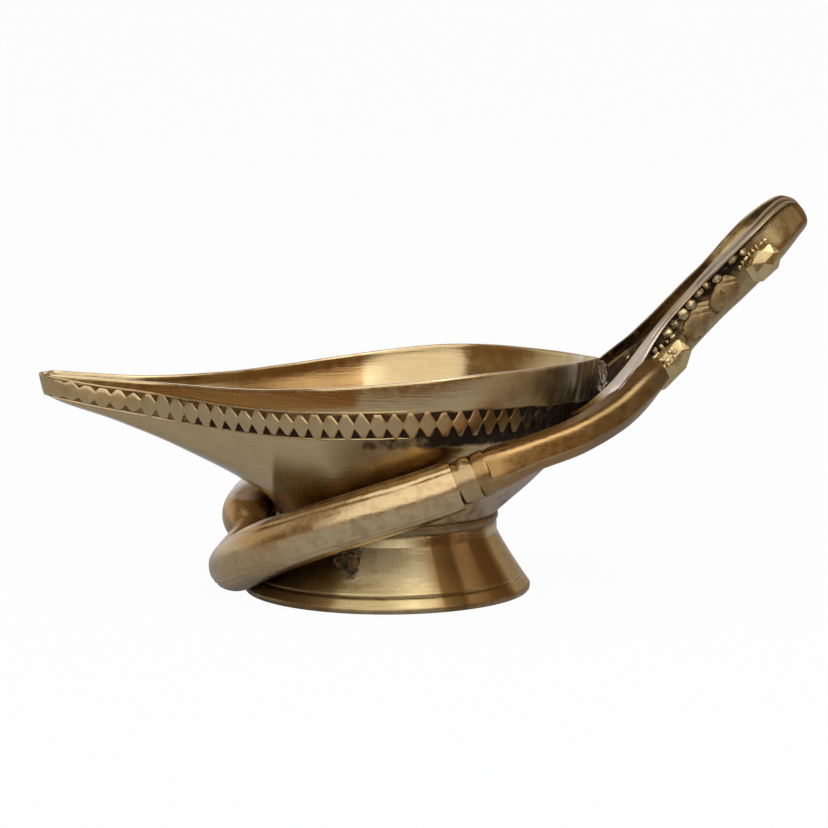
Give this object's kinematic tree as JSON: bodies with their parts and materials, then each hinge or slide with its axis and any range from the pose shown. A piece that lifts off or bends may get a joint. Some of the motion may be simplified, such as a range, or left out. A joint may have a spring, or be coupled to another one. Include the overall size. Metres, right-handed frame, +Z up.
{
  "type": "oil lamp",
  "caption": "Cast brass hand lamp: a leaf-shaped oil bowl with a wick spout on a flared foot, a filed bar looped round the foot, and a dished thumb handle.",
  "frame": {"origin": "on the floor, under the middle of the lamp's bounding box", "axes": "+X from the spout to the handle, +Y across the lamp, +Z up"},
  "size_m": [0.1302, 0.0634, 0.0669],
  "materials": {
    "brass": "hand-polished and worn, satin",
    "relief_brass": "cast relief with dark grime in the recesses",
    "solder": "rough and dark with grime"
  },
  "bodies": {
    "root": {"foot": "brass", "bowl": "brass", "diamond_border": "brass", "neck_solder": "solder", "foot_loop": "brass", "loop_solder": "solder", "hood": "brass", "handle_solder": "solder", "collar_ring_near_lower": "brass", "collar_ring_near_upper": "brass", "stem_near": "brass", "pearl_row_near": "relief_brass", "leaf_near_lower": "relief_brass", "leaf_near_upper": "relief_brass", "stud_near_lower": "brass", "stud_near_upper": "brass", "collar_ring_far_lower": "brass", "collar_ring_far_upper": "brass", "stem_far": "brass", "pearl_row_far": "relief_brass", "leaf_far_lower": "relief_brass", "leaf_far_upper": "relief_brass", "stud_far_lower": "brass", "stud_far_upper": "brass"}
  },
  "joints": []
}
